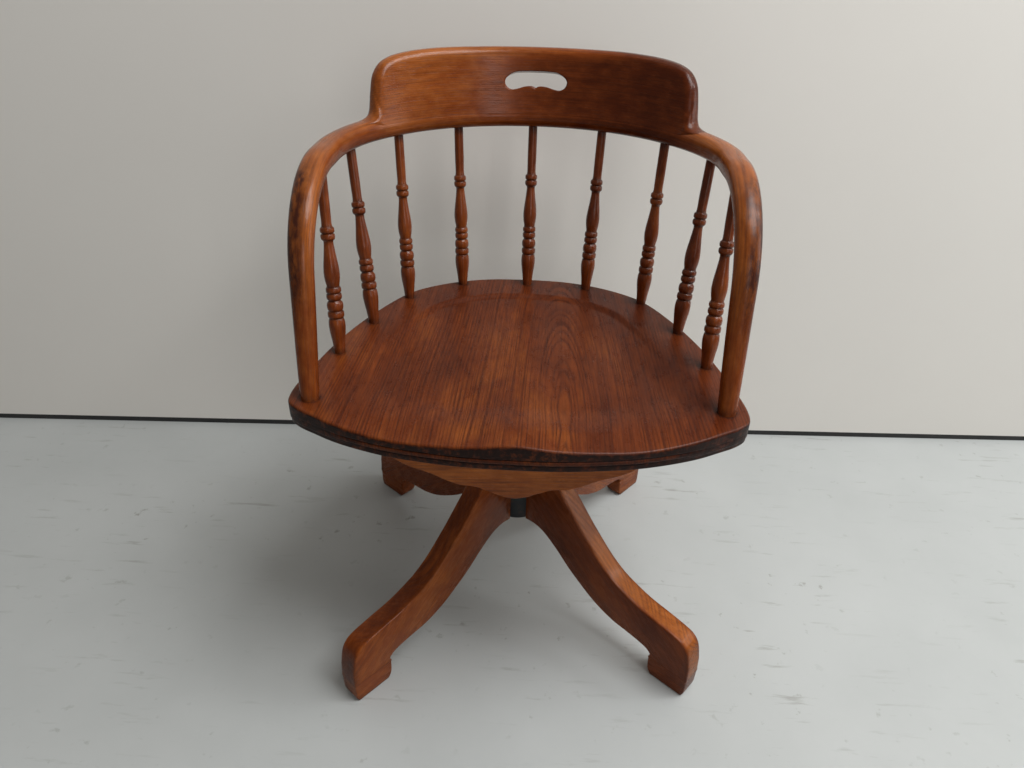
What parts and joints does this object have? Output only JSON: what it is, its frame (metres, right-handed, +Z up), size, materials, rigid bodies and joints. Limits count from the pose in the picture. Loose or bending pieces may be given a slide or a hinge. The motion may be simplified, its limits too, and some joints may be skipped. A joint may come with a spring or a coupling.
{
  "type": "swivel armchair",
  "caption": "Wooden desk chair with a saddle seat, bent arm bow, turned back spindles, crest rail with a hand hole, and a four-legged base with an iron height screw.",
  "frame": {"origin": "floor under the middle of the chair's footprint; the swivel axis stands 9.8 mm towards -Y of it", "axes": "+Z up, the sitter faces -Y, +X is the right-hand side in the picture"},
  "size_m": [0.5718, 0.5643, 0.79],
  "materials": {
    "seat_wood": "dark red-brown polished hardwood, satin, grain front to back, worn lighter in the middle",
    "bow_wood": "red-brown bent hardwood, french polished, darker at the joints and worn on the arms",
    "turned_wood": "dark red-brown turned hardwood, polished",
    "leg_wood": "red-brown sawn hardwood, satin polish, lighter on the arrises",
    "iron": "blue-black painted casting, satin",
    "steel": "dull oiled steel",
    "brass": "dull brass"
  },
  "bodies": {
    "base": {"hub_casting": "iron", "guide_bush": "brass", "key_screw": "steel", "nut_washer": "steel", "leg_rear_right": "leg_wood", "foot_shoe_rear_right": "leg_wood", "leg_screw_rear_right": "steel", "leg_rear_left": "leg_wood", "foot_shoe_rear_left": "leg_wood", "leg_screw_rear_left": "steel", "leg_front_left": "leg_wood", "foot_shoe_front_left": "leg_wood", "leg_screw_front_left": "steel", "leg_front_right": "leg_wood", "foot_shoe_front_right": "leg_wood", "leg_screw_front_right": "steel"},
    "nut": {"hand_nut": "iron"},
    "screw": {"height_screw": "steel"},
    "seat": {"seat_board": "seat_wood", "bearer_front": "leg_wood", "bearer_rear": "leg_wood", "bearer_screw_1": "steel", "bearer_screw_2": "steel", "bearer_screw_3": "steel", "bearer_screw_4": "steel", "seat_iron": "iron", "iron_screw_1": "steel", "iron_screw_2": "steel", "iron_screw_3": "steel", "iron_screw_4": "steel", "iron_screw_5": "steel", "iron_screw_6": "steel", "iron_screw_7": "steel", "iron_screw_8": "steel", "set_screw": "steel", "seat_washer": "brass", "back_spindle_1": "turned_wood", "back_spindle_2": "turned_wood", "back_spindle_3": "turned_wood", "back_spindle_4": "turned_wood", "back_spindle_5": "turned_wood", "back_spindle_6": "turned_wood", "back_spindle_7": "turned_wood", "back_spindle_8": "turned_wood", "back_spindle_9": "turned_wood", "arm_bow": "bow_wood", "crest_rail": "bow_wood", "crest_dowel_1": "turned_wood", "crest_dowel_2": "turned_wood", "crest_dowel_3": "turned_wood", "crest_dowel_4": "turned_wood"}
  },
  "joints": [
    {"name": "nut_turn", "type": "hinge", "parent": "base", "child": "nut", "pos_m": [0, -0.00978, 0.314], "axis": [0, 0, -1], "range_deg": [0, 3600]},
    {"name": "screw_lift", "type": "slide", "parent": "base", "child": "screw", "axis": [0, 0, 1], "range_m": [0, 0.08]},
    {"name": "seat_swivel", "type": "hinge", "parent": "screw", "child": "seat", "pos_m": [0, -0.00978, 0.37], "axis": [0, 0, 1], "continuous": true}
  ],
  "couplings": [
    {"joint": "nut_turn", "follows": "screw_lift", "rad_per_m": 785.4}
  ]
}
